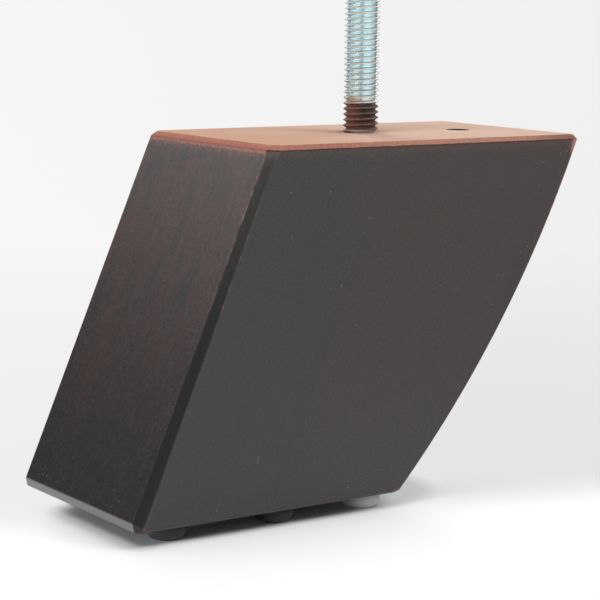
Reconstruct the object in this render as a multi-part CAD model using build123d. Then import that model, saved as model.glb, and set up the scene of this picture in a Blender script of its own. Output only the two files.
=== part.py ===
from build123d import *
from math import radians, tan
import os

# A timber furniture foot: a block with one leaning end and one bowed end, a hanger bolt that stands
# out of its top, an empty locating hole beside the bolt, and small glides under its bottom.
# All sizes are in millimetres. The bolt's axis is Z and the block's top face is at z = 0.
# X runs along the broad face towards the bowed end, and Y runs through the block's thickness.

# Block, seen from the side
block_height = 78.0
block_thickness = 50.0
top_length = 85.5
bottom_length = 68.5
bolt_from_leaning_end = 41.0
lean = 33.25
bow = 4.4

# Edges of the block
top_chamfer = 1.1
upright_chamfer = 1.6
heel_bevel_up = 2.2
heel_bevel_under = 1.4
bottom_chamfer = 0.6

# Hanger bolt: a machine thread above and a wood screw below. In the timber, each thread has its
# mean diameter, because the timber fills its grooves. It narrows to that just under the top face.
stud_diameter = 8.0
stud_length = 40.0
stud_tip_chamfer = 1.0
sunk_thread_diameter = 7.2
sunk_thread_length = 4.0
bore_mouth_depth = 0.4
screw_diameter = 6.4
screw_shoulder = 0.8
screw_length = 36.0
screw_point = 6.0
pilot_spare_depth = 5.0

# Locating hole in the top face, for a dowel or pin that stops the foot from turning
locating_hole_diameter = 5.2
locating_hole_depth = 12.0
locating_hole_from_bolt = 27.0
locating_hole_forward = 2.0
drill_point_angle = 118.0

# Glides, in a front row and a back row
glide_diameter = 8.5
glide_height = 3.5
glide_rounding = 1.5
glide_inset = 2.5
glide_heel_gap = 7.9
glide_middle_gap = 18.5
glide_toe_gap = 14.9


def block_outline():
    """The block from the side: a straight leaning end, a bowed end, and level top and bottom."""
    top_left = (-bolt_from_leaning_end, 0)
    top_right = (top_length - bolt_from_leaning_end, 0)
    heel = (-bolt_from_leaning_end - lean, -block_height)
    toe = (heel[0] + bottom_length, -block_height)
    straight_sides = Polyline(top_right, top_left, heel, toe)
    bowed_end = SagittaArc(toe, top_right, -bow)
    return Plane.XZ * make_face([straight_sides, bowed_end])


def chamfered_block():
    """The outline as a thick block, with every edge broken by its own chamfer."""
    block = extrude(block_outline(), block_thickness / 2, both=True)
    upright_edges = [edge for edge in block.edges() if edge.bounding_box().size.Z > block_height * 0.9]
    block = chamfer(upright_edges, upright_chamfer)
    block = chamfer(block.faces().sort_by(Axis.Z)[-1].edges(), top_chamfer)

    heel_edge = block.faces().sort_by(Axis.Z)[0].edges().sort_by(Axis.X)[0]
    leaning_face = block.faces().filter_by(Axis.Y, reverse=True).sort_by(Axis.X)[0]
    block = chamfer(heel_edge, heel_bevel_up, heel_bevel_under, reference=leaning_face)
    bottom_edges = block.faces().sort_by(Axis.Z)[0].edges().sort_by(Axis.X)[1:]
    return chamfer(bottom_edges, bottom_chamfer)


def half_turned(points):
    """A solid of revolution about the Z axis from its half section, given as radius and height."""
    return revolve(Plane.XZ * make_face(Polyline(*points, close=True)), Axis.Z)


def sunk_side():
    """The side that the bolt and its bore share: the mouth, the sunk thread and the shoulder below."""
    return [
        (stud_diameter / 2, 0),
        (sunk_thread_diameter / 2, -bore_mouth_depth),
        (sunk_thread_diameter / 2, -sunk_thread_length),
        (screw_diameter / 2, -sunk_thread_length - screw_shoulder),
    ]


def hanger_bolt():
    """The whole bolt: chamfered stud, the end of its thread in the timber, wood screw and point."""
    stud_radius = stud_diameter / 2
    screw_end = -sunk_thread_length - screw_length
    return half_turned([
        (0, stud_length),
        (stud_radius - stud_tip_chamfer, stud_length),
        (stud_radius, stud_length - stud_tip_chamfer),
        *sunk_side(),
        (screw_diameter / 2, screw_end + screw_point),
        (0, screw_end),
    ])


def drill_cone(radius):
    """The depth of the cone that a drill's point leaves below a hole of this radius."""
    return radius / tan(radians(drill_point_angle / 2))


def pilot_bore():
    """What the drill and the bolt's own thread take out of the block, with room below the point."""
    screw_radius = screw_diameter / 2
    bore_end = -sunk_thread_length - screw_length - pilot_spare_depth
    return half_turned([
        (0, 0),
        *sunk_side(),
        (screw_radius, bore_end + drill_cone(screw_radius)),
        (0, bore_end),
    ])


def locating_hole():
    """The empty blind hole beside the bolt."""
    radius = locating_hole_diameter / 2
    hole = half_turned([
        (0, 0),
        (radius, 0),
        (radius, -locating_hole_depth),
        (0, -locating_hole_depth - drill_cone(radius)),
    ])
    return Pos(locating_hole_from_bolt, -locating_hole_forward, 0) * hole


def foot_block():
    """The block with its bolt bore and its locating hole."""
    return chamfered_block() - pilot_bore() - locating_hole()


def glide(x, y):
    """One small disc with a rounded lower edge, its top against the block's bottom."""
    disc = Cylinder(glide_diameter / 2, glide_height, align=(Align.CENTER, Align.CENTER, Align.MAX))
    disc = fillet(disc.edges().sort_by(Axis.Z)[0], glide_rounding)
    return Pos(x, y, -block_height) * disc


def glide_places():
    """The centre of each glide, the front row first, each row from the heel to the toe."""
    heel = -bolt_from_leaning_end - lean
    first = heel + glide_heel_gap + glide_diameter / 2
    second = first + glide_middle_gap + glide_diameter
    third = second + glide_toe_gap + glide_diameter
    row = block_thickness / 2 - glide_inset - glide_diameter / 2
    return [(x, y) for y in (-row, row) for x in (first, second, third)]


pieces = {"foot_block": foot_block(), "hanger_bolt": hanger_bolt()}
for number, (x, y) in enumerate(glide_places(), start=1):
    pieces[f"glide_{number}"] = glide(x, y)

os.makedirs("parts", exist_ok=True)
for name, piece in pieces.items():
    piece.label = name
    export_step(piece, f"parts/{name}.step")
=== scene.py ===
import math

import bmesh
import bpy
import numpy as np
from mathutils import Matrix, Vector


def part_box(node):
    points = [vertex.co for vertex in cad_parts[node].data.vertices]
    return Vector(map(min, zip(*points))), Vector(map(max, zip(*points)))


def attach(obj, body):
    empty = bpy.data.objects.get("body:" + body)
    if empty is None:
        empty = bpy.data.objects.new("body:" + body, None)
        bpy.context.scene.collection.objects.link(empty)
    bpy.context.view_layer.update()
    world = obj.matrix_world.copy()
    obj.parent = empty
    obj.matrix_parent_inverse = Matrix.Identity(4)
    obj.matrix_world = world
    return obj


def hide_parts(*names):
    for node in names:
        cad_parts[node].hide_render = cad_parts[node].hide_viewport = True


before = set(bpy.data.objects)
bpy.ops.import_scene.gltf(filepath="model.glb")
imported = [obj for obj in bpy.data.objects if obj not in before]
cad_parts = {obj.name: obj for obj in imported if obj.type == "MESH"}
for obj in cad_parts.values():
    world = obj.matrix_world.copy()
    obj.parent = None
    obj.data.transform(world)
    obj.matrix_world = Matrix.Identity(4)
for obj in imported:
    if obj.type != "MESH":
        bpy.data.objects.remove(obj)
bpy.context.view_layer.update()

mm = 0.001
seamGap = 0.001 * mm     # points closer than this are one point


# Meshes from whole arrays

def gridFaces(rows, columns, closed=False):
    # Quads between neighbours on a grid of rows x columns, one array row per quad. A closed grid
    # goes on from its last column to its first.
    i, j = np.meshgrid(np.arange(rows - 1), np.arange(columns if closed else columns - 1), indexing="ij")
    i, j = i.ravel(), j.ravel()
    down, along = i + 1, (j + 1) % columns
    corners = [i * columns + j, i * columns + along, down * columns + along, down * columns + j]
    return np.stack(corners, axis=1)


def meshPiece(name, points, faces, attributes=None, loops=()):
    # One mesh object at the origin. The loops are flat outlines, each filled with one face.
    mesh = bpy.data.meshes.new(name)
    polygons = faces.tolist() + [list(map(int, loop)) for loop in loops]
    mesh.from_pydata(points.reshape(-1, 3).tolist(), [], polygons)
    for key, values in (attributes or {}).items():
        layer = mesh.attributes.new(key, "FLOAT", "POINT")
        layer.data.foreach_set("value", np.ascontiguousarray(values, dtype=np.float32).ravel())
    mesh.validate()
    mesh.polygons.foreach_set("use_smooth", np.ones(len(mesh.polygons), dtype=bool))
    mesh.update()
    piece = bpy.data.objects.new(name, mesh)
    bpy.context.scene.collection.objects.link(piece)
    return piece


def closeSeams(piece):
    # Joins the edges and poles of a grid where they fall on one another.
    bm = bmesh.new()
    bm.from_mesh(piece.data)
    bmesh.ops.remove_doubles(bm, verts=bm.verts, dist=seamGap)
    bmesh.ops.dissolve_degenerate(bm, edges=bm.edges, dist=seamGap)
    bm.to_mesh(piece.data)
    bm.free()


def roundedAlong(control, reach, steps, closed, mostOfSide=0.45):
    # Rounds a polyline of control points along axis 0: each corner becomes a parabola that starts and
    # ends at reach from it, or at the given share of a short side. Returns the rounded array and a
    # weight that is 1 at the top of each curve.
    before, after = np.roll(control, 1, axis=0), np.roll(control, -1, axis=0)
    inner = control if closed else control[1:-1]
    before, after = (before, after) if closed else (before[1:-1], after[1:-1])

    def pulled(other):
        gap = other - inner
        length = np.linalg.norm(gap[..., :3], axis=-1, keepdims=True)
        return inner + gap * (np.minimum(reach, length * mostOfSide) / np.maximum(length, 1e-9))

    start, end = pulled(before), pulled(after)
    t = np.linspace(0, 1, steps).reshape((1, steps) + (1,) * (control.ndim - 1))
    curve = (1 - t) ** 2 * start[:, None] + 2 * t * (1 - t) * inner[:, None] + t ** 2 * end[:, None]
    weight = np.broadcast_to(4 * t * (1 - t), curve.shape[:2] + (1,) * (control.ndim - 1))
    curve = curve.reshape((-1,) + control.shape[1:])
    weight = weight.reshape((curve.shape[0],) + (1,) * (control.ndim - 1))
    if closed:
        return curve, weight
    zero = np.zeros((1,) + weight.shape[1:])
    return np.concatenate([control[:1], curve, control[-1:]]), np.concatenate([zero, weight, zero])


# Camera, where the photograph was taken from

cameraDesign = dict(
    place=(-0.2744006, -0.3668979, 0.0322232),  # metres
    heading=35.1479,                            # degrees from +Y towards +X
    pitch=8.8200,                               # degrees down
    roll=-0.8626,                               # degrees
    lens=120.620, sensor=36.0,                  # millimetres
    clip=(0.01, 200.0),                         # metres
)


def viewAxes():
    # The photographer's right and forward, both level.
    heading = math.radians(cameraDesign["heading"])
    return (math.cos(heading), -math.sin(heading), 0), (math.sin(heading), math.cos(heading), 0)


def makeCamera():
    # Forward is level forward tipped down by the pitch. Right and down are turned about it by the roll.
    d = cameraDesign
    pitch, roll = math.radians(d["pitch"]), math.radians(d["roll"])
    level, ahead = map(np.array, viewAxes())
    forward = math.cos(pitch) * ahead - math.sin(pitch) * np.array([0.0, 0.0, 1.0])
    plumb = np.cross(forward, level)
    right = math.cos(roll) * level + math.sin(roll) * plumb
    down = -math.sin(roll) * level + math.cos(roll) * plumb
    data = bpy.data.cameras.new("photoCamera")
    data.sensor_width, data.lens = d["sensor"], d["lens"]
    data.clip_start, data.clip_end = d["clip"]
    camera = bpy.data.objects.new("photoCamera", data)
    turn = Matrix(np.stack([right, -down, -forward], axis=1).tolist()).to_4x4()
    camera.matrix_world = Matrix.Translation(d["place"]) @ turn
    bpy.context.scene.collection.objects.link(camera)
    bpy.context.scene.camera = camera


makeCamera()
print("camera made")


# Node helpers

class Nodes:
    # A short way to write a node tree: each call adds a node and returns its socket.

    def __init__(self, tree):
        self.tree = tree
        tree.nodes.clear()

    def add(self, kind, settings=None, inputs=None, output=0):
        node = self.tree.nodes.new(kind)
        for key, value in (settings or {}).items():
            setattr(node, key, value)
        for key, value in (inputs or {}).items():
            self.join(node.inputs[key], value)
        return node if output is None else node.outputs[output]

    def join(self, socket, value):
        if isinstance(value, bpy.types.NodeSocket):
            self.tree.links.new(value, socket)
        else:
            socket.default_value = value

    def math(self, operation, *values):
        return self.add("ShaderNodeMath", {"operation": operation}, dict(enumerate(values)))

    def times(self, first, second):
        return self.math("MULTIPLY", first, second)

    def timesAdd(self, value, factor, added):
        return self.math("MULTIPLY_ADD", value, factor, added)

    def most(self, first, *others):
        for other in others:
            first = self.math("MAXIMUM", first, other)
        return first

    def swayed(self, value, noise, reach):
        # The value moved either way by a noise, which lies about one half
        return self.timesAdd(self.math("SUBTRACT", noise, 0.5), reach, value)

    def mix(self, factor, first, second):
        return self.add("ShaderNodeMix", {"data_type": "RGBA"}, {0: factor, 6: first, 7: second}, output=2)

    def steps(self, value, low, high, start=0.0, end=1.0, kind="SMOOTHSTEP"):
        return self.add("ShaderNodeMapRange", {"interpolation_type": kind},
                        {0: value, 1: low, 2: high, 3: start, 4: end})

    def layers(self, colour, masks, table, colours):
        # Lays colours over one another, each as far as its mask has gone from one value to another
        for mask, low, high, share, key in table:
            colour = self.mix(self.steps(masks[mask], low, high, 0.0, share), colour, colours[key])
        return colour

    def noise(self, vector, scale, detail, rough, distortion=0.0):
        return self.add("ShaderNodeTexNoise", {}, {"Vector": vector, "Scale": scale, "Detail": detail,
                                                   "Roughness": rough, "Distortion": distortion})

    def place(self, vector, shift=(0, 0, 0), turn=(0, 0, 0), scale=(1, 1, 1), kind="POINT"):
        return self.add("ShaderNodeMapping", {"vector_type": kind},
                        {"Vector": vector, "Location": shift, "Rotation": turn, "Scale": scale})

    def where(self):
        return self.add("ShaderNodeTexCoord", output=3)

    def axis(self, vector, number):
        return self.add("ShaderNodeSeparateXYZ", {}, {0: vector}, output=number)

    def length(self, vector):
        return self.add("ShaderNodeVectorMath", {"operation": "LENGTH"}, {0: vector}, output=1)

    def dot(self, vector, direction):
        return self.add("ShaderNodeVectorMath", {"operation": "DOT_PRODUCT"},
                        {0: vector, 1: direction}, output=1)

    def attribute(self, name):
        return self.add("ShaderNodeAttribute", {"attribute_name": name}, output=2)

    def spot(self, where, place, size, turn=0.0):
        # 1 in the middle of an ellipsoid with these half axes, turned about Y, and 0 outside it
        local = self.place(where, place, (0, turn, 0), size, kind="TEXTURE")
        return self.steps(self.length(local), 1.0, 0.4)

    def spots(self, where, places):
        return self.most(*[self.spot(where, *place) for place in places])

    def finish(self, shader, kind="ShaderNodeOutputMaterial"):
        self.add(kind, {}, {"Surface": shader}, output=None)


def newMaterial(name):
    material = bpy.data.materials.new(name)
    material.use_nodes = True
    return material, Nodes(material.node_tree)


# The timber block

blockDesign = dict(
    height=78 * mm, halfThickness=25 * mm,
    topLeft=-41 * mm, topRight=44.5 * mm, lean=33.25 * mm, bottomLength=68.5 * mm, bow=4.4 * mm,
    topChamfer=1.1 * mm, uprightChamfer=1.6 * mm, bottomChamfer=0.6 * mm,
    bowedChamfer=(0.5 * mm, 0.8 * mm),    # of the bowed end, at its head and its foot
    heelUp=2.2 * mm, heelUnder=1.4 * mm,
    arrisReach=0.34 * mm, arrisSteps=6,   # how softly the sanded edges are rounded
    support=0.25 * mm,                    # a loop this far inside each side keeps it flat in shading
    capInset=0.625 * mm,                  # and one this far inside the top and the bottom
    courses=40, panels=24,                # grid lines up the block and along each broad side
    capTrim=0.7 * mm, footTrim=0.9 * mm,  # how much less of each corner is off on the top and bottom
    nearTrim=0.5, bowedTrim=0.1,          # share of that at the near corner and at the bowed end
    # The near corner is softer at the head: by this much on the first rings, of which these courses
    # follow the top chamfer, as shares of the height
    softGain=(0.75 * mm, 0.75 * mm, 0.62 * mm, 0.36 * mm, 0.17 * mm, 0.06 * mm, 0.0),
    softCourses=(0.0, 0.006, 0.013, 0.022, 0.034),
    ringWear=(0.45, 0.1, 0.6, 0.6),       # wear of the arrises round the top and bottom
    cornerWear=(0.66, 1.0, 1.0, 0.5, 0.5, 0.5, 1.3, 1.0),   # and up the block, from the near left
    leftArrisWear=((-0.8, -0.15), (0.0, 1.0)),       # share of it over height, in block heights
    rightArrisWear=((-0.95, -0.65, -0.5), (0.4, 0.6, 0.95)),
    ringSteps=64, lip=0.20 * mm,
    boreRadius=3.5 * mm, boreDepth=45 * mm, borePoint=2 * mm,
    holeX=27 * mm, holeY=-2 * mm, holeRadius=2.6 * mm, holeDepth=12 * mm, holePoint=1.56 * mm,
    holeLip=((1.0, 0.0), (0.25, 0.4), (0.0, 1.4)),   # its mouth as widening and depth, in lips
    holeRing=4 * mm,                      # depth of one more ring on its wall
)


def blockEnds(z):
    # The leaning end is a straight line, and the bowed end is an arc through its two corners whose
    # middle stands off the chord by the bow. Returns x of both ends at the given heights.
    d = blockDesign
    depth = -z / d["height"]
    leftX = d["topLeft"] - d["lean"] * depth
    toe = np.array([d["topLeft"] - d["lean"] + d["bottomLength"], -d["height"]])
    top = np.array([d["topRight"], 0.0])
    chord = np.linalg.norm(top - toe)
    radius = (chord ** 2 / 4 + d["bow"] ** 2) / (2 * d["bow"])
    outward = np.array([(top - toe)[1], -(top - toe)[0]]) / chord
    centre = (top + toe) / 2 - outward * (radius - d["bow"])
    return leftX, centre[0] + np.sqrt(radius ** 2 - (z - centre[1]) ** 2)


def blockControl():
    # Rings of eight corners from the top face's inner loop, over the chamfers, down the sides and
    # on to the bottom's inner loop. Channels: x, y, z and bareTop, which falls from 1 to 0 over the
    # top chamfer.
    d = blockDesign
    lean = math.atan2(d["lean"], d["height"])
    inset = d["capInset"]
    half, top, bottom, floor = d["halfThickness"], d["topChamfer"], d["bottomChamfer"], -d["height"]
    heelX = d["topLeft"] - d["lean"]
    toeX = heelX + d["bottomLength"]

    # Extra courses near the top, where the ends of the upright chamfers widen softly.
    fall = np.concatenate([d["softCourses"], np.linspace(0, 1, d["courses"])[2:]])
    z = -top + (floor + bottom + top) * fall
    leftTop, leftFoot = -top * math.cos(lean), floor + d["heelUp"] * math.cos(lean)
    leftZ = leftTop + (leftFoot - leftTop) * fall
    leftX, rightX = blockEnds(leftZ)[0], blockEnds(z)[1]

    def column(first, middle, last):
        return np.concatenate([first, middle, last])

    lx = column([d["topLeft"] + top + inset, d["topLeft"] + top], leftX,
                [heelX + d["heelUnder"], heelX + d["heelUnder"] + inset])
    rx = column([d["topRight"] - top - inset, d["topRight"] - top], rightX,
                [toeX - bottom, toeX - bottom - inset])
    y = column([half - top - inset, half - top], np.full_like(z, half),
               [half - bottom, half - bottom - inset])
    zs, lz = column([0, 0], z, [floor, floor]), column([0, 0], leftZ, [floor, floor])
    trimmed = np.zeros_like(zs)
    trimmed[[0, 1]], trimmed[[-2, -1]] = d["capTrim"], d["footTrim"]
    soft = np.concatenate([d["softGain"], np.zeros(len(zs) - len(d["softGain"]))])
    near = d["uprightChamfer"] - d["nearTrim"] * trimmed + soft
    far = d["uprightChamfer"] - trimmed
    bowed = np.interp(-zs / d["height"], [0, 1], d["bowedChamfer"]) - d["bowedTrim"] * trimmed
    turn = 1 / math.cos(lean)
    corners = [(lx + near * turn, -y, zs), (rx - bowed * turn, -y, zs), (rx, bowed - y, zs),
               (rx, y - bowed, zs), (rx - bowed * turn, y, zs), (lx + far * turn, y, zs),
               (lx, y - far, lz), (lx, near - y, lz)]
    points = np.stack([np.stack(corner, axis=-1) for corner in corners], axis=1)
    bare = np.zeros(points.shape[:2] + (1,))
    bare[:2] = 1
    return np.concatenate([points, bare], axis=-1)


def blockGrid():
    # The control rings rounded at each arris, first down the block and then round it, with each long
    # run round it divided. Returns points on a grid of rings x columns and named values for each.
    d = blockDesign
    per = d["arrisSteps"]
    control = blockControl()
    ringCount = control.shape[0]
    down, downWeight = roundedAlong(control, d["arrisReach"], per, closed=False)
    ringGain = np.zeros(ringCount - 2)
    ringGain[[0, 1, -2, -1]] = d["ringWear"]
    downWeight = downWeight[:, 0, 0] * np.concatenate([[0], np.repeat(ringGain, per), [0]])
    around, aroundWeight = roundedAlong(np.moveaxis(down, 1, 0), d["arrisReach"], per, closed=True)
    aroundWeight = aroundWeight[:, 0, 0] * np.repeat(d["cornerWear"], per)

    runs, weights, starts = [], [], []
    count = around.shape[0]
    for corner in range(8):
        first = corner * per
        start, end = around[first + per - 1], around[(first + per) % count]
        starts.append(sum(map(len, runs)))
        runs.append(around[first:first + per])
        weights.append(aroundWeight[first:first + per])
        if corner % 2 == 0:
            near = d["support"] / np.linalg.norm((end - start)[:, :3], axis=-1).mean()
            t = np.concatenate([[near], np.linspace(0, 1, d["panels"] + 1)[1:-1], [1 - near]])[:, None, None]
            runs.append(start * (1 - t) + end * t)
            weights.append(np.zeros(len(t)))
    grid = np.moveaxis(np.concatenate(runs), 0, 1)

    rows, columns = np.arange(grid.shape[0])[:, None], np.arange(grid.shape[1])[None, :]
    onLeft = (columns >= starts[6] + per // 2) & (columns < starts[7] + per // 2)
    nearCut = (columns >= starts[7] + per // 2) | (columns < starts[0] + per // 2)
    lastCourse = 1 + (ringCount - 4) * per + per // 2
    onHeel = onLeft & (rows >= lastCourse) & (rows < lastCourse + per)
    # The near chamfer's left arris is worn most at its head, and its right arris most at its foot.
    leftArris, rightArris = columns >= starts[7], columns < starts[0] + per
    upper = np.interp(grid[..., 2] / d["height"], *d["leftArrisWear"])
    lower = np.interp(grid[..., 2] / d["height"], *d["rightArrisWear"])
    worn = np.where(leftArris, upper, np.where(rightArris, lower, 1.0))
    values = {
        "bareTop": grid[..., 3],
        "arris": np.maximum(downWeight[:, None], np.concatenate(weights)[None, :] * worn),
        "leaningEnd": onLeft & (rows > per) & ~onHeel,
        "heelBevel": onHeel,
        "nearChamfer": nearCut & (rows > per),
    }
    return grid[..., :3], values


def holeGrid(x, y, profile, tip):
    # A blind hole: rings of radius and depth turned about the hole's axis, closed by its point.
    angle = np.linspace(0, 2 * np.pi, blockDesign["ringSteps"], endpoint=False)
    radius, depth = np.array(profile).T[:, :, None]
    rings = np.stack([x + radius * np.cos(angle), y + radius * np.sin(angle),
                      np.broadcast_to(depth, (len(profile), len(angle)))], axis=-1)
    point = np.broadcast_to(np.array([x, y, tip]), (1, len(angle), 3))
    return np.concatenate([rings, point])


def makeBlock():
    d = blockDesign
    lip, bore, hole = d["lip"], d["boreRadius"], d["holeRadius"]
    points, values = blockGrid()
    rings, columns = points.shape[:2]
    mouth = [(hole + wider * lip, -down * lip) for wider, down in d["holeLip"]]
    holes = [
        holeGrid(0.0, 0.0, [(bore + lip, 0), (bore, -lip), (bore, -d["boreDepth"] + d["borePoint"])],
                 -d["boreDepth"]),
        holeGrid(d["holeX"], d["holeY"], mouth + [(hole, -d["holeRing"]), (hole, -d["holeDepth"])],
                 -d["holeDepth"] - d["holePoint"]),
    ]
    allPoints = [points.reshape(-1, 3)]
    allFaces = [gridFaces(rings, columns, closed=True)]
    edgeLoops = [np.arange(columns)]
    for grid in holes:
        first = sum(map(len, allPoints))
        allPoints.append(grid.reshape(-1, 3))
        allFaces.append(first + gridFaces(*grid.shape[:2], closed=True))
        edgeLoops.append(first + np.arange(grid.shape[1]))
    added = sum(map(len, allPoints)) - rings * columns
    padded = {key: np.concatenate([np.ravel(value).astype(float), np.full(added, float(key == "bareTop"))])
              for key, value in values.items()}
    block = meshPiece("stainedBlock", np.concatenate(allPoints), np.concatenate(allFaces), padded,
                      loops=[np.arange(columns) + (rings - 1) * columns])

    # The flat top between the outline and the two holes is filled last.
    bm = bmesh.new()
    bm.from_mesh(block.data)
    bm.verts.ensure_lookup_table()
    rims = [bm.edges.get((bm.verts[a], bm.verts[b])) for loop in edgeLoops
            for a, b in zip(loop.tolist(), np.roll(loop, -1).tolist())]
    bmesh.ops.triangle_fill(bm, use_beauty=True, edges=rims)
    bmesh.ops.remove_doubles(bm, verts=bm.verts, dist=seamGap / 2)
    bmesh.ops.recalc_face_normals(bm, faces=bm.faces)
    bm.to_mesh(block.data)
    bm.free()
    block.data.polygons.foreach_set("use_smooth", np.ones(len(block.data.polygons), dtype=bool))
    block.data.update()
    return block


timberDesign = dict(
    stain=(0.0240, 0.0240, 0.0218, 1), stainRed=(0.0385, 0.0200, 0.0190, 1),   # two casts of the dark stain
    leftLow=(0.0140, 0.0130, 0.0130, 1), leftHigh=(0.0640, 0.0200, 0.0186, 1), # of the leaning end
    leftFrom=-68 * mm, leftTo=-12 * mm,                                        # from its foot to its head
    pore=(0.009, 0.009, 0.009, 1), haze=(0.050, 0.048, 0.046, 1),
    bare=(0.51, 0.300, 0.210, 1), bareDark=(0.42, 0.230, 0.155, 1), barePale=(0.60, 0.44, 0.36, 1),
    rubbed=(0.39, 0.172, 0.126, 1), rubbedDeep=(0.29, 0.115, 0.085, 1),        # round the top
    chamferShadeRight=(0.12, 0.06, 0.055, 1),                                         # and painted shade at its right end
    wornPink=(0.20, 0.125, 0.110, 1), wornOrange=(0.36, 0.150, 0.095, 1),      # arrises, left and right
    wornDeep=(0.150, 0.080, 0.064, 1),                                         # and near the floor
    # The colour inside the holes is painted shade
    # The heel's bevel colour is a painted reflection of the floor
    heelFloorReflection=(0.134, 0.132, 0.132, 1), holePaintedShade=(0.045, 0.022, 0.016, 1),
    # The first dark colour here marks a scratch and is also painted shade on the near chamfer
    scratchAndChamferShade=(0.0060, 0.0060, 0.0058, 1), speck=(0.42, 0.40, 0.34, 1), smear=(0.55, 0.52, 0.52, 1),

    # Noises drawn out along the grain, and plain ones: scale, detail, roughness, then what differs
    drawnNoises=dict(
        fibres=(3000, 3, 0.62, 0.07), pores=(1500, 2, 0.5, 0.09), bands=(150, 3, 0.55, 0.07),
        dots=(2300, 2, 0.6, 0.7), clouds=(60, 4, 0.55, 0.35), streaks=(420, 3, 0.6, 0.16)),
    plainNoises=dict(
        grit=(2600, 3, 0.7), mottle=(1100, 3, 0.65), patches=(700, 3, 0.65), edges=(500, 3, 0.6)),
    noiseShifts=dict(streaks=(0.1, 0.2, 0.1), grit=(0.3, 0.1, 0.2)), bandDistortion=0.2,
    ringCentre=(0.02, -0.11, 0), ringScale=620.0,    # year rings on the bare top

    # Layers of colour: mask, the values it runs between, how much of the colour at most, and colour
    leftLayers=(
        ("dots", 0.60, 0.40, 0.35, "leftLow"), ("fibres", 0.50, 0.66, 0.40, "haze"),
        ("streaks", 0.50, 0.64, 0.85, "leftLow"), ("mottle", 0.56, 0.42, 0.60, "leftLow"),
        ("clouds", 0.50, 0.66, 0.12, "leftHigh")),
    sideLayers=(
        ("grit", 0.44, 0.66, 0.48, "haze"), ("grit", 0.50, 0.34, 0.62, "pore"),
        ("bands", 0.50, 0.75, 0.20, "pore"), ("fibres", 0.44, 0.34, 0.45, "pore")),
    topLayers=(
        ("rings", 0.45, 0.62, 0.45, "bareDark"), ("clouds", 0.45, 0.75, 0.40, "barePale"),
        ("along", -38 * mm, 10 * mm, 0.57, "barePale"), ("pores", 0.40, 0.30, 0.50, "bareDark")),

    redFrom=-22 * mm, redTo=2 * mm, redSway=30 * mm,          # across the grain, where the cast changes
    redFade=(-75 * mm, -20 * mm, 0.35, 1.0), redDots=(0.40, 0.60, 0.25, 1.15),   # over height, and in dots
    # Painted shade on the near chamfer: near black at the foot, less towards the head
    nearChamferShadeFade=(-45 * mm, -2 * mm, 0.97, 0.25),
    # Towards its right end the top chamfer is painted darker, as painted shade
    rubbedFront=(-30 * mm, 5 * mm, 0.0, 0.38), chamferShadeReach=(26 * mm, 43 * mm, 0.0, 0.65),
    wearPatches=(0.9, 0.50), wearFrom=(0.66, 1.0), wearArris=(0.25, 0.7), wearShare=0.75,
    wornAcross=(0.0, 20 * mm), wornDown=(-15 * mm, -45 * mm, 0.0, 0.9),
    thinned=(-3.4 * mm, -1.0 * mm), thinnedSway=4.5 * mm, thinnedShare=(0.10, 0.16),
    leftEdge=(-2.0 * mm, -1.45 * mm, 0.0, 0.75), leftEdgeSway=1.4 * mm,
    rubbedEdge=(0.06, 0.16), rubbedSway=0.25, bareEdge=(0.90, 0.985), holeEdge=(0.985, 0.999),
    holeFade=-0.04 * mm, rawEdge=(-1.55 * mm, -1.2 * mm),
    satin=0.34, satinLeft=0.27, bareRough=0.9, roughSway=0.10,
    grainRelief=0.05 * mm, reliefStrength=0.35, fibreRelief=0.7, mottleRelief=0.5,
)
speckSize = dict(depth=2 * mm, share=0.8, leaning=0.2 * mm)

# Marks on the block: place, half axes and turn about Y
scratch = ((-20.9 * mm, -25 * mm, -30.6 * mm), (2.3 * mm, 2 * mm, 0.16 * mm), math.radians(62))
nick = ((-43.9 * mm, -25 * mm, -65.9 * mm), (0.3 * mm, 2 * mm, 1.0 * mm), 0.1)
wedge = ((43.4 * mm, -24.9 * mm, -1.9 * mm), (1.7 * mm, 1.5 * mm, 3.8 * mm), 0.42)
smear = ((-0.6 * mm, -15.5 * mm, 0), (2.6 * mm, 2.0 * mm, 1 * mm), 0.0)
rubbedSpots = [
    ((-6.3 * mm, -25.0 * mm, -77.2 * mm), (1.5 * mm, 0.8 * mm, 0.55 * mm), 0.0),
    ((-71.6 * mm, -25.0 * mm, -77.2 * mm), (0.6 * mm, 0.7 * mm, 0.8 * mm), 0.4),
]
darkSpots = [
    ((-7.2 * mm, -14.3 * mm, 0.0), (0.45 * mm, 0.6 * mm, 1.0 * mm), 0.0),
    ((-2.9 * mm, 3.0 * mm, 0.0), (1.6 * mm, 1.3 * mm, 1.0 * mm), 0.0),
]
markShares = dict(specks=0.45, nick=0.12, smear=0.45, dark=0.7,
                  rubbed=(0.35, 0.6, 0.15, 0.45), wedge=(0.3, 0.6, 0.75, 1.0))


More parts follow.
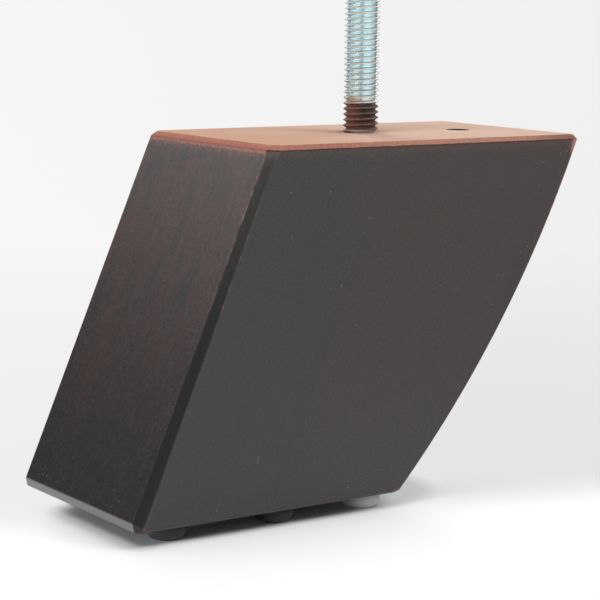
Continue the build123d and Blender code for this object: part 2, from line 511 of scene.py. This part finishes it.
def speckPlaces():
    # Pale specks on the broad face as x, z and radius, and on the leaning end as y and z, all in mm.
    d, block = speckSize, blockDesign
    broad = [(-26.2, -10.1, 0.24), (-15.7, -16.2, 0.24), (-36.4, -9.9, 0.20), (-36.0, -19.2, 0.20),
             (-22.9, -30.5, 0.24), (-25.7, -30.9, 0.20), (-18.7, -39.3, 0.20), (-12.4, -38.9, 0.18),
             (8.7, -33.4, 0.20), (4.1, -32.2, 0.20), (27.3, -26.3, 0.20), (29.5, -25.1, 0.22),
             (22.6, -31.3, 0.20), (33.6, -6.1, 0.22), (38.6, -8.3, 0.22), (40.5, -3.8, 0.26),
             (38.7, -4.2, 0.24), (19.4, -37.7, 0.20), (-54.0, -75.5, 0.22), (-55.7, -77.0, 0.20),
             (-20.2, -74.9, 0.22)]
    leaning = [(16.6, -74.2), (14.9, -74.0), (10.0, -74.3), (-12.5, -71.4), (-15.8, -73.0), (-13.7, -74.6)]
    slope = block["lean"] / block["height"]
    places = []
    for x, z, r in broad:
        size = d["share"] * r * mm
        places.append(((x * mm, -block["halfThickness"], z * mm), (size, d["depth"], size)))
    for y, z in leaning:
        places.append(((block["topLeft"] + slope * z * mm, y * mm, z * mm), (d["leaning"],) * 3))
    return places


def stainedTimber():
    # The grain runs down the lean. Noise drawn out along it makes fibres, pores and bands, and the
    # block's own attributes say where the bare top, the worn arrises and the heel's bevel are.
    d, share = timberDesign, markShares
    material, n = newMaterial("stainedTimber")
    lean = math.atan2(blockDesign["lean"], blockDesign["height"])
    where = n.where()
    grain = n.place(where, turn=(0, -lean, 0))
    shifts, masks = d["noiseShifts"], {}
    for name, (scale, detail, rough, drawn) in d["drawnNoises"].items():
        vector = n.place(grain, shifts.get(name, (0, 0, 0)), scale=(1, 1, drawn))
        masks[name] = n.noise(vector, scale, detail, rough, d["bandDistortion"] if name == "bands" else 0.0)
    for name, (scale, detail, rough) in d["plainNoises"].items():
        masks[name] = n.noise(n.place(where, shifts.get(name, (0, 0, 0))), scale, detail, rough)
    mottle = masks["mottle"]
    bare, arris = n.attribute("bareTop"), n.attribute("arris")
    leftEnd, heel = n.attribute("leaningEnd"), n.attribute("heelBevel")
    along, height, across = n.axis(where, 0), n.axis(where, 2), n.axis(grain, 0)

    # Stained sides: red cast beyond a wandering line, in dots, and stronger towards the head
    red = n.times(n.steps(n.swayed(across, masks["clouds"], d["redSway"]), d["redFrom"], d["redTo"]),
                  n.steps(height, *d["redFade"]))
    stain = n.mix(n.times(red, n.steps(masks["dots"], *d["redDots"])), d["stain"], d["stainRed"])
    leftHeight = n.steps(height, d["leftFrom"], d["leftTo"], kind="LINEAR")
    leftStain = n.layers(n.mix(leftHeight, d["leftLow"], d["leftHigh"]), masks, d["leftLayers"], d)
    stain = n.layers(n.mix(leftEnd, stain, leftStain), masks, d["sideLayers"], d)
    # The heel's bevel is painted pale grey, a painted reflection of the floor
    stain = n.mix(heel, stain, d["heelFloorReflection"])
    # The near chamfer is painted nearly black towards its foot, as a painted dark reflection
    nearChamfer = n.times(n.attribute("nearChamfer"), n.steps(height, *d["nearChamferShadeFade"]))
    stain = n.mix(nearChamfer, stain, d["scratchAndChamferShade"])

    # Marks
    stain = n.mix(n.times(n.spots(where, speckPlaces()), share["specks"]), stain, d["speck"])
    stain = n.mix(n.spot(where, *scratch), stain, d["scratchAndChamferShade"])
    stain = n.mix(n.times(n.spot(where, *nick), share["nick"]), stain, d["speck"])
    redSpots = n.times(n.spots(where, rubbedSpots), n.steps(mottle, *share["rubbed"]))
    stain = n.mix(redSpots, stain, d["rubbedDeep"])
    stain = n.mix(n.times(n.spot(where, *wedge), n.steps(mottle, *share["wedge"])), stain, d["rubbed"])

    # Worn arrises, patchy along their length, pinkish at the left and orange at the right
    byPatch, byArris = d["wearPatches"]
    patchy = n.timesAdd(masks["patches"], byPatch, n.times(arris, byArris))
    wear = n.times(n.steps(patchy, *d["wearFrom"]), n.steps(arris, *d["wearArris"]))
    wornColour = n.mix(n.steps(across, *d["wornAcross"]), d["wornPink"], d["wornOrange"])
    wornColour = n.mix(n.steps(height, *d["wornDown"]), wornColour, d["wornDeep"])
    stain = n.mix(n.times(wear, d["wearShare"]), stain, wornColour)

    # Bare top with its year rings, a smear, stains round the stud, and painted shade inside its holes
    ring = n.length(n.place(grain, d["ringCentre"], scale=(1, 1, 0)))
    rings = n.add("ShaderNodeTexNoise", {"noise_dimensions": "1D"},
                  {"W": ring, "Scale": d["ringScale"], "Detail": 2.0})
    masks.update(rings=rings, along=along)
    tan = n.layers(d["bare"], masks, d["topLayers"], d)
    tan = n.mix(n.times(n.spot(where, *smear), share["smear"]), tan, d["smear"])
    tan = n.mix(n.times(n.spots(where, darkSpots), share["dark"]), tan, d["rubbedDeep"])
    # Painted shade inside both holes
    inHole = n.times(n.steps(bare, *d["holeEdge"]), n.steps(height, 0.0, d["holeFade"]))
    tan = n.mix(inHole, tan, d["holePaintedShade"])

    # The chamfer round the top, where the stain is rubbed thin, and the thinner stain just below it
    rubbed = n.mix(n.steps(mottle, 0.35, 0.65), d["rubbedDeep"], d["rubbed"])
    notLeft = n.math("SUBTRACT", 1.0, leftEnd)
    rubbed = n.mix(n.times(notLeft, n.steps(along, *d["rubbedFront"])), rubbed, d["bareDark"])
    # Painted shade darkens the top chamfer towards its right end
    rubbed = n.mix(n.steps(along, *d["chamferShadeReach"]), rubbed, d["chamferShadeRight"])
    everywhere, moreAtLeft = d["thinnedShare"]
    thinned = n.steps(n.swayed(height, mottle, d["thinnedSway"]), *d["thinned"], 0.0,
                      n.timesAdd(leftEnd, moreAtLeft, everywhere))
    colour = n.mix(thinned, stain, d["rubbedDeep"])
    raggedBare = n.swayed(bare, masks["edges"], d["rubbedSway"])
    colour = n.mix(n.steps(raggedBare, *d["rubbedEdge"]), colour, rubbed)
    leftEdge = n.times(n.steps(n.swayed(height, mottle, d["leftEdgeSway"]), *d["leftEdge"]), leftEnd)
    colour = n.mix(leftEdge, colour, d["rubbedDeep"])
    colour = n.mix(n.steps(bare, *d["bareEdge"]), colour, tan)

    # Satin where the stain is, matt where the wood is raw or rubbed, with the fibres in relief
    rough = n.mix(leftEnd, (d["satin"],) * 3 + (1,), (d["satinLeft"],) * 3 + (1,))
    raw = n.most(n.steps(bare, 0.0, 0.15), n.times(n.steps(arris, 0.2, 0.7), 0.6),
                 n.steps(height, *d["rawEdge"]))
    rough = n.swayed(n.mix(raw, rough, (d["bareRough"],) * 3 + (1,)), mottle, d["roughSway"])
    relief = n.math("ADD", n.times(masks["fibres"], d["fibreRelief"]), n.times(mottle, d["mottleRelief"]))
    bump = n.add("ShaderNodeBump", {}, {"Strength": d["reliefStrength"], "Distance": d["grainRelief"],
                                        "Height": relief})
    n.finish(n.add("ShaderNodeBsdfPrincipled", {}, {
        "Base Color": colour, "Roughness": rough, "Normal": bump, "IOR": 1.5}))
    return material


block = makeBlock()
block.data.materials.append(stainedTimber())
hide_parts("foot_block")
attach(block, "root")
print("block made", len(block.data.polygons))


# The hanger bolt

boltDesign = dict(
    crestRadius=4.0 * mm, rootRadius=3.27 * mm, pitch=1.25 * mm, length=40 * mm, tipChamfer=1.0 * mm,
    crestPhase=3.45 * mm,      # height of a crest on the right silhouette
    phaseAngle=-35.15,         # degrees, the direction of that silhouette
    sunk=4 * mm, footRadius=3.2 * mm, footRise=0.6 * mm, footLimit=4.1 * mm, steps=96,
    screwCrest=3.45 * mm, screwRoot=2.6 * mm, screwPitch=3.0 * mm, screwEnd=40 * mm, screwPoint=6 * mm,
    pointRadius=0.05 * mm,
    neckFrom=1.6 * mm, neckTo=0.8 * mm,   # below the stud, where the screw's thread runs out
    overlap=0.5 * mm,                     # of the screw's neck inside the stud
)

# One pitch of each thread: the heights of its grid lines as shares of the pitch, then depths as
# shares of the thread's depth at distances from the crest. The stud has a flat crest, straight
# flanks and a round root, and the wood screw has a thin crest on a plain core.
studProfile = (
    [-0.5, -0.46, -0.43, -0.38, -0.2, -0.085, -0.06, -0.03, 0.0, 0.03, 0.06, 0.085, 0.2, 0.38, 0.43, 0.46],
    [0.0, 0.045, 0.085, 0.38, 0.43, 0.5],
    [0.0, 0.015, 0.08, 0.86, 0.965, 1.0])
screwProfile = (
    [-0.5, -0.35, -0.25, -0.2, -0.1, -0.02, 0.02, 0.1, 0.2, 0.25, 0.35],
    [0.02, 0.2, 0.25],
    [0.0, 0.95, 1.0])


def helix(profile, crestRadius, rootRadius, pitch, phase, heights, limits):
    # The radius depends on where a point is within the pitch, and each column of the grid is lifted by
    # its share of a turn, so the profile winds up the bolt. The limits trim it to an outer shape given
    # as radius over height, and both ends are closed on the axis.
    share, at, depths = (np.array(values) for values in profile)
    depth = np.interp(np.abs(share), at, depths)
    low, high = heights[0], heights[-1]
    turn = np.arange(int(math.ceil((high - low) / pitch)) + 4)
    angle = np.linspace(0, 2 * np.pi, boltDesign["steps"] + 1)
    level = (turn[:, None] + share[None, :]).ravel()
    start = phase - pitch * math.ceil((phase - low) / pitch + 1)
    z = start + pitch * (level[:, None] + angle[None, :] / (2 * np.pi))
    radius = np.tile(crestRadius - depth * (crestRadius - rootRadius), len(turn))
    r = np.minimum(radius[:, None], np.interp(z, heights, limits))
    r[[0, -1]] = 0.0
    theta = math.radians(boltDesign["phaseAngle"]) + angle[None, :]
    points = np.stack([r * np.cos(theta), r * np.sin(theta), np.clip(z, low, high)], axis=-1)
    return points, np.broadcast_to(np.tile(1 - depth, len(turn))[:, None], z.shape)


def makeBolt():
    d = boltDesign
    crest, neck, top, foot, end = d["crestRadius"], d["screwRoot"], d["length"], -d["sunk"], -d["screwEnd"]
    stud, studCrest = helix(
        studProfile, crest, d["rootRadius"], d["pitch"], d["crestPhase"],
        [foot, foot + d["footRise"], top - d["tipChamfer"], top],
        [d["footRadius"], d["footLimit"], crest, crest - d["tipChamfer"]])
    screw, screwCrest = helix(
        screwProfile, d["screwCrest"], neck, d["screwPitch"], 0.0,
        [end, end + d["screwPoint"], foot - d["neckFrom"], foot - d["neckTo"], foot + d["overlap"]],
        [d["pointRadius"], d["screwCrest"], d["screwCrest"], neck, neck])
    faces = np.concatenate([gridFaces(*stud.shape[:2]),
                            stud.shape[0] * stud.shape[1] + gridFaces(*screw.shape[:2])])
    points = np.concatenate([stud.reshape(-1, 3), screw.reshape(-1, 3)])
    bolt = meshPiece("threadedStud", points, faces,
                     {"crest": np.concatenate([studCrest.ravel(), screwCrest.ravel()])})
    closeSeams(bolt)
    return bolt


zincDesign = dict(
    valley=(0.77, 0.97, 1.0, 1), valleyDull=(0.68, 0.86, 0.91, 1), valleyShade=(0.31, 0.41, 0.49, 1),
    crest=(0.68, 0.665, 0.615, 1), tarnishAndShade=(0.20, 0.22, 0.22, 1),
    # The cool cream is painted shade for the view's right side
    # The lilac is painted light on the stud's foot at the view's right
    cream=(0.60, 0.56, 0.47, 1), creamShaded=(0.66, 0.70, 0.69, 1), lilac=(0.55, 0.47, 0.45, 1),
    # The second rust colour is a painted-shade copy of the rust for the view's right side
    rustLeft=(0.150, 0.062, 0.042, 1), rustShaded=(0.040, 0.030, 0.027, 1),
    rustCrest=(0.19, 0.125, 0.098, 1), rustPale=(0.37, 0.18, 0.11, 1),
    mottled=(900, 4, 0.6), fine=(3200, 3, 0.6),               # noises: scale, detail, roughness
    rustTop=6.7 * mm, rustFoot=0.45 * mm, creamTop=8.3 * mm, blur=0.35 * mm, sway=1.6 * mm,

    # Across the view, from the left to the right: painted shade in the grooves, and colours that turn as
    # painted light and shade
    shadeMiddle=(-1.2 * mm, 0.2 * mm, 0.0, 0.30), shadeLeft=(-2.2 * mm, -3.2 * mm, 0.0, 0.35),
    shadeRight=(1.8 * mm, 3.4 * mm, 0.0, 0.70), flankShadeRight=(2.9 * mm, 3.7 * mm, 0.10, 0.60),
    creamPaintedLightTurn=(-2.2 * mm, 0.4 * mm), rustShadeTurn=(-2.4 * mm, 0.6 * mm), footLightTurn=(-3.4 * mm, -1.0 * mm),
    flankFrom=(0.08, 0.30), flankTo=(0.66, 0.46),             # how much crest a flank has

    # Layers of colour: mask, the values it runs between, how much of the colour at most, and colour
    zincLayers=(("crest", 0.36, 0.76, 0.90, "crest"), ("fine", 0.30, 0.22, 0.22, "tarnishAndShade")),
    rustLayers=(("fine", 0.52, 0.68, 0.45, "rustCrest"), ("height", 2.6 * mm, 1.2 * mm, 0.45, "rustLeft")),
    rustOnCrest=((0.55, 0.95), (0.38, 0.58, 0.25, 0.95)),     # by crest and by fine noise
    rustInPatches=((0.50, 0.66), (0.45, 0.6, 0.1, 0.75)),     # by mottled and by fine noise
    zincRough=(0.3, 0.7, 0.20, 0.30), rustRough=0.30, crestRough=(0.7, 1.0, 0.0, 0.20), rustMetal=0.15,
    relief=0.04 * mm, zincRelief=0.06, rustRelief=0.7,
)


def zincSteel():
    # Blue-white plating in the grooves, paler on the crests, and rust between two heights, with painted
    # light and shade laid across the view.
    d = zincDesign
    material, n = newMaterial("zincSteel")
    where = n.where()
    mottled, fine = n.noise(where, *d["mottled"]), n.noise(where, *d["fine"])
    crest, height = n.attribute("crest"), n.axis(where, 2)
    masks = dict(crest=crest, fine=fine, height=height)
    ragged = n.swayed(height, mottled, d["sway"])
    aside = n.dot(where, viewAxes()[0])

    def below(level):
        return n.steps(ragged, level + d["blur"], level - d["blur"])

    zinc = n.mix(n.steps(mottled, 0.45, 0.75, 0.0, 0.6), d["valley"], d["valleyDull"])
    # Painted shade in three bands across the view darkens the plating
    shade = n.most(*[n.steps(aside, *d[key]) for key in ("shadeMiddle", "shadeLeft", "shadeRight")])
    zinc = n.mix(shade, zinc, d["valleyShade"])
    flank = n.times(n.steps(crest, *d["flankFrom"]), n.steps(crest, *d["flankTo"]))
    # Painted shade on the flanks at the view's right edge, in the same colour as the tarnish specks
    zinc = n.mix(n.times(flank, n.steps(aside, *d["flankShadeRight"])), zinc, d["tarnishAndShade"])
    zinc = n.layers(zinc, masks, d["zincLayers"], d)
    # The pale band above the rust is warm at the view's left as a painted reflection of the bare top, and
    # cool at its right as painted shade
    cream = n.mix(n.steps(aside, *d["creamPaintedLightTurn"]), d["cream"], d["creamShaded"])
    zinc = n.mix(below(d["creamTop"]), zinc, cream)

    # The rust turns from its own orange at the view's left to a darker painted-shade copy at its right
    rust = n.mix(n.steps(aside, *d["rustShadeTurn"]), d["rustLeft"], d["rustShaded"])
    byCrest, byFine = d["rustOnCrest"]
    rust = n.mix(n.times(n.steps(crest, *byCrest), n.steps(fine, *byFine)), rust, d["rustCrest"])
    rust = n.layers(rust, masks, d["rustLayers"], d)
    byPatch, byFine = d["rustInPatches"]
    rust = n.mix(n.times(n.steps(mottled, *byPatch), n.steps(fine, *byFine)), rust, d["rustPale"])
    rusty = n.times(below(d["rustTop"]), n.steps(height, d["rustFoot"], d["rustFoot"] + d["blur"]))
    foot = n.steps(height, d["rustFoot"] + d["blur"], d["rustFoot"])
    # The foot turns from rust at the view's left to a pale lilac at its right, as painted light
    stained = n.mix(n.steps(aside, *d["footLightTurn"]), d["rustLeft"], d["lilac"])
    colour = n.mix(rusty, n.mix(foot, zinc, stained), rust)

    metal = n.steps(n.most(rusty, foot), 0.0, 1.0, 1.0, d["rustMetal"])
    rough = n.timesAdd(rusty, d["rustRough"], n.steps(mottled, *d["zincRough"]))
    rough = n.math("ADD", n.steps(crest, *d["crestRough"]), rough)
    strength = n.timesAdd(rusty, d["rustRelief"], d["zincRelief"])
    bump = n.add("ShaderNodeBump", {}, {"Strength": strength, "Distance": d["relief"], "Height": fine})
    n.finish(n.add("ShaderNodeBsdfPrincipled", {}, {
        "Base Color": colour, "Metallic": metal, "Roughness": rough, "Normal": bump}))
    return material


bolt = makeBolt()
bolt.data.materials.append(zincSteel())
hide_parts("hanger_bolt")
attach(bolt, "root")
print("bolt made", len(bolt.data.polygons))


# Glides

glideDesign = dict(
    radius=4.25 * mm, height=3.5 * mm, rounding=1.5 * mm, top=-78 * mm, steps=64, arcSteps=9,
    topRing=0.9, faceRing=0.36,           # rings inside the flat top and the flat face, in radii
    milky=(0.86, 0.85, 0.91, 1), clear=(0.95, 0.94, 0.98, 1), cloudy=(400, 3, 0.5),
    dark=(0.045, 0.045, 0.046, 1),        # painted shade on the front row towards the heel
    shadeTowardsHeel=(-12 * mm, -20 * mm, 0.0, 0.95), shadeFrontRow=(5 * mm, -5 * mm),
)


def glidePlastic():
    d = glideDesign
    material, n = newMaterial("glidePlastic")
    where = n.where()
    colour = n.mix(n.steps(n.noise(where, *d["cloudy"]), 0.3, 0.7), d["milky"], d["clear"])
    # Painted shade: the front row's glides towards the heel are painted nearly black
    paintedShade = n.times(n.steps(n.axis(where, 0), *d["shadeTowardsHeel"]), n.steps(n.axis(where, 1), *d["shadeFrontRow"]))
    n.finish(n.add("ShaderNodeBsdfPrincipled", {}, {
        "Base Color": n.mix(paintedShade, colour, d["dark"]), "Roughness": 0.35, "IOR": 1.2,
        "Transmission Weight": 0.30, "Subsurface Weight": 0.9, "Subsurface Scale": 0.004,
        "Subsurface Radius": (1.0, 1.0, 1.1)}))
    return material


def makeGlide(name, x, y, material):
    # A profile of radius and height turned about the glide's own axis: flat top, straight side,
    # quarter-round lower edge and flat face.
    d = glideDesign
    curve = np.linspace(0, np.pi / 2, d["arcSteps"])
    wide, top, low = d["radius"], d["top"], d["top"] - d["height"]
    radius = np.concatenate([[0.0, d["topRing"] * wide, wide], wide - d["rounding"] * (1 - np.cos(curve)),
                             [d["faceRing"] * wide, 0.0]])
    height = np.concatenate([[top, top, top], low + d["rounding"] * (1 - np.sin(curve)), [low, low]])
    angle = np.linspace(0, 2 * np.pi, d["steps"], endpoint=False)
    points = np.stack([x + radius[:, None] * np.cos(angle), y + radius[:, None] * np.sin(angle),
                       np.broadcast_to(height[:, None], (len(radius), len(angle)))], axis=-1)
    faces = gridFaces(len(radius), len(angle), closed=True)[:, ::-1]
    glide = meshPiece(name, points, faces)
    closeSeams(glide)
    glide.data.materials.append(material)
    return glide


glideMaterial = glidePlastic()
for number in range(1, 7):
    node = "glide_%d" % number
    low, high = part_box(node)
    glide = makeGlide("glide%d" % number, (low[0] + high[0]) / 2, (low[1] + high[1]) / 2, glideMaterial)
    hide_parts(node)
    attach(glide, "root")
print("glides made")


# Studio

studioDesign = dict(
    floorZ=-81.5 * mm, floorReach=60.0,
    # The paper is painted darker behind the object than in front, as painted shade
    paperInFront=(0.97, 0.97, 0.97, 1), paperShadedBehind=(0.80, 0.80, 0.80, 1),
    paperTurns=(-0.04, 0.07), paperLean=0.6,    # metres ahead, and how far that line leans
    # The glow begins far from the object in front, and closer behind it and at its sides, where it is
    # painted light over the object's shadow
    farFade=(0.10, 0.30), nearCentre=(0.045, 0.045, 0), nearFade=(0.03, 0.11),
    nearTurns=(-0.035, 0.0), nearLean=-0.3,
    footprint=(-33 * mm, -5 * mm, 0), footprintSize=(38 * mm, 25 * mm, 1.0), footprintFade=(1.10, 1.35),
    # The glow is darker near the object and at its right, as painted shade
    farLeft=(0.925, 0.925, 0.925, 1), farRight=(0.860, 0.865, 0.860, 1),     # what the far floor glows
    nearLeftShaded=(0.845, 0.845, 0.845, 1), nearRightShaded=(0.765, 0.768, 0.765, 1),   # and the floor near the object
    glowFade=(0.05, 0.45), glowSides=(-0.3, 0.3),
    room=(0.0, 0.8, 0.25, 0.03),          # light of the room from its horizon to overhead
    # What gloss sees: bright walls at the camera's side with a dark slit, which is wide above
    # the horizon, and a fainter stripe in it. Bearings in radians, rises as the direction's height.
    wallLight=1.7, slitLight=0.06, slit=(-0.33, 0.17), slitWide=-1.9, slitRise=(0.08, 0.22), slitSoft=0.1,
    slitTop=0.47, stripe=(-0.17, 0.07), stripeSoft=0.05, stripeShare=0.8,
    wallFade=(1.60, 1.15, 0.40, 1.0), sideAt=(1.75, 1.55),
    behindLow=(0.22, 0.44, 0.04, 2.2), behindHigh=(0.75, 0.50, 0.2, 1.0),    # and behind the object
)
lampDesign = dict(
    overHead=((0.05, 0.10, 1.10), (0, 0, 0), 0.7, 4.2),        # place, aim, size in metres, watts
    frontRight=((0.62, -0.72, 0.98), (0, 0, -0.04), 0.6, 6.8),
    frontLeft=((-0.66, -0.48, 0.95), (0, 0, -0.04), 0.6, 6.0),
    leftLow=((-1.20, 0.00, 0.15), (-0.05, 0, -0.08), 0.35, 6.0),
    backLow=((0.20, 1.10, 0.22), (-0.05, 0, -0.08), 0.35, 8.5),
    sideHigh=((0.85, 0.10, 0.80), (0, 0, -0.04), 0.55, 2.5),
)


def floorPaper():
    d = studioDesign
    material, n = newMaterial("floorPaper")
    where = n.where()
    right, forward = viewAxes()
    distance, ahead, aside = n.length(where), n.dot(where, forward), n.dot(where, right)

    # Where the floor glows: far away, and near the object at its back as painted light over its shadow, but
    # not under the block
    behind = n.steps(n.timesAdd(aside, d["nearLean"], ahead), *d["nearTurns"])
    near = n.times(n.steps(n.length(n.place(where, d["nearCentre"])), *d["nearFade"]), behind)
    beneath = n.length(n.place(where, d["footprint"], scale=d["footprintSize"], kind="TEXTURE"))
    near = n.times(near, n.steps(beneath, *d["footprintFade"]))
    backdropAndPaintedGlow = n.most(n.steps(distance, *d["farFade"]), near)

    # Plain paper elsewhere, which takes the shadow and is painted darker behind the object as painted shade
    turned = n.timesAdd(aside, d["paperLean"], ahead)
    tint = n.mix(n.steps(turned, *d["paperTurns"]), d["paperInFront"], d["paperShadedBehind"])
    paper = n.add("ShaderNodeBsdfDiffuse", {}, {"Color": tint})
    # Glow colours that darken near the object and to the right are painted shade
    outward = n.steps(distance, *d["glowFade"], kind="LINEAR")
    light = n.mix(n.steps(n.math("DIVIDE", aside, distance), *d["glowSides"]),
                  n.mix(outward, d["nearLeftShaded"], d["farLeft"]), n.mix(outward, d["nearRightShaded"], d["farRight"]))
    glow = n.add("ShaderNodeEmission", {}, {"Color": light, "Strength": 1.0})
    n.finish(n.add("ShaderNodeMixShader", {}, {0: backdropAndPaintedGlow, 1: paper, 2: glow}))
    return material


def makeFloor():
    side, z = studioDesign["floorReach"], studioDesign["floorZ"]
    points = np.array([[-side, -side, z], [side, -side, z], [side, side, z], [-side, side, z]])
    floor = meshPiece("floor", points, np.array([[0, 1, 2, 3]]))
    floor.data.materials.append(floorPaper())


def makeWorld():
    # White to the camera, a dim room as light, and walls and a slit that only gloss sees.
    d = studioDesign
    world = bpy.data.worlds.new("studio")
    bpy.context.scene.world = world
    world.use_nodes = True
    n = Nodes(world.node_tree)
    path = n.add("ShaderNodeLightPath", output=None)
    toward = n.add("ShaderNodeTexCoord", output=0)
    rise = n.axis(toward, 2)
    right, forward = viewAxes()
    bearing = n.math("ARCTAN2", n.dot(toward, right), n.dot(toward, tuple(-part for part in forward)))

    def between(low, high, soft):
        return n.times(n.steps(bearing, low - soft, low + soft), n.steps(bearing, high + soft, high - soft))

    (low, high), soft, top = d["slit"], d["slitSoft"], d["slitTop"]
    edge = n.steps(rise, *d["slitRise"], low, d["slitWide"])
    rightOfEdge = n.steps(bearing, n.math("SUBTRACT", edge, soft), n.math("ADD", edge, soft))
    inSlit = n.times(rightOfEdge, n.steps(bearing, high + soft, high - soft))
    inSlit = n.times(inSlit, n.steps(rise, top + soft, top - soft))
    inSlit = n.most(inSlit, n.times(between(*d["stripe"], d["stripeSoft"]), d["stripeShare"]))
    front = n.mix(inSlit, (d["wallLight"],) * 3 + (1,), (d["slitLight"],) * 3 + (1,))
    angle = n.math("ABSOLUTE", bearing)
    front = n.mix(n.steps(angle, *d["wallFade"]), (0, 0, 0, 1), front)
    behind = n.times(n.steps(rise, *d["behindLow"]), n.steps(rise, *d["behindHigh"]))
    behind = n.add("ShaderNodeCombineColor", {}, {0: behind, 1: behind, 2: behind})
    gloss = n.mix(n.steps(angle, *d["sideAt"]), behind, front)

    def background(colour, strength=1.0):
        return n.add("ShaderNodeBackground", {}, {"Color": colour, "Strength": strength})

    room = background((1, 1, 1, 1), n.steps(rise, *d["room"]))
    light = n.add("ShaderNodeMixShader", {},
                  {0: path.outputs["Is Glossy Ray"], 1: room, 2: background(gloss)})
    shader = n.add("ShaderNodeMixShader", {},
                   {0: path.outputs["Is Camera Ray"], 1: light, 2: background(d["farLeft"])})
    n.finish(shader, "ShaderNodeOutputWorld")


def makeLamps():
    for name, (place, aim, size, power) in lampDesign.items():
        data = bpy.data.lights.new(name, "AREA")
        data.shape, data.size, data.energy = "SQUARE", size, power
        lamp = bpy.data.objects.new(name, data)
        turn = (Vector(place) - Vector(aim)).to_track_quat("Z", "Y").to_matrix().to_4x4()
        lamp.matrix_world = Matrix.Translation(place) @ turn
        bpy.context.scene.collection.objects.link(lamp)
        lamp.visible_camera = lamp.visible_glossy = lamp.visible_transmission = False


makeFloor()
makeWorld()
makeLamps()
bpy.context.scene.view_settings.view_transform = "Standard"
print("studio made")
